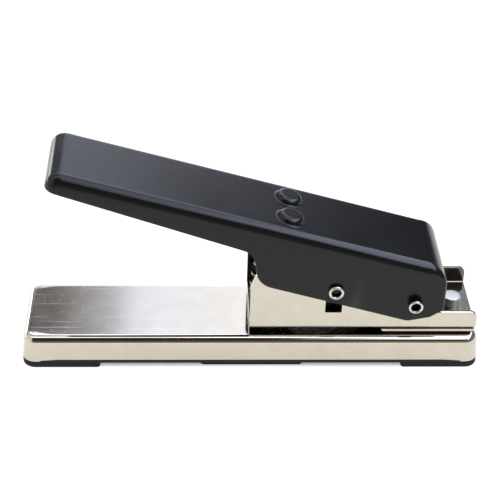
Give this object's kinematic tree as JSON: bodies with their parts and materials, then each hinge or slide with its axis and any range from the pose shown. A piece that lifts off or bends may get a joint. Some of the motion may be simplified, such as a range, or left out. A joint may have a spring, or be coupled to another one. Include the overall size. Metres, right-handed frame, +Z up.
{
  "type": "guitar pick punch",
  "caption": "Desk lever punch that cuts guitar picks from plastic card: plated tray base, U-shaped frame, sprung black handle, pick-shaped punch and die.",
  "frame": {"origin": "on the table, under the middle of the tray", "axes": "+X along the tray from the handle's free end towards the pivot, +Y across, away from the picture's viewer, +Z up"},
  "size_m": [0.1708, 0.0394, 0.0824],
  "materials": {
    "plated_tray": "polished nickel plate with fine scratches",
    "plated_frame": "polished nickel plate",
    "black_enamel": "satin gloss black enamel",
    "black_rubber": "matt",
    "black_cover": "matt moulded",
    "tool_steel": "ground",
    "plain_steel": "zinc plated",
    "dark_steel": "blackened",
    "rivet_steel": "plated",
    "spring_steel": "drawn wire"
  },
  "bodies": {
    "base": {"base_tray": "plated_tray", "bottom_cover": "black_cover", "foot_front": "black_rubber", "foot_middle": "black_rubber", "foot_rear": "black_rubber", "die_plate": "tool_steel", "die_screws": "plain_steel", "spacer_shim": "dark_steel", "card_stop_plate": "plated_frame", "punch_frame": "plated_frame", "rear_rivet": "rivet_steel", "frame_rivets": "rivet_steel", "pivot_rivet": "rivet_steel", "pivot_sleeve": "plain_steel", "pivot_washers": "plain_steel", "spring_posts": "plain_steel", "return_spring_near": "spring_steel", "return_spring_far": "spring_steel"},
    "lever": {"handle": "black_enamel", "punch_pin": "rivet_steel"},
    "punch": {"punch_head": "tool_steel", "punch_block": "tool_steel", "punch_screws": "dark_steel"}
  },
  "joints": [
    {"name": "handle_press", "type": "hinge", "parent": "base", "child": "lever", "pos_m": [0.0594, 0, 0.0288], "axis": [0, -1, 0], "range_deg": [0, 15.8], "stiffness_Nm_per_rad": 5, "springref_deg": -6.3, "deforming": ["return_spring_near", "return_spring_far"]},
    {"name": "punch_slide", "type": "slide", "parent": "base", "child": "punch", "axis": [0, 0, -1], "range_m": [0, 0.0082]}
  ],
  "couplings": [
    {"joint": "punch_slide", "follows": "handle_press", "m_per_rad": 0.029698}
  ]
}
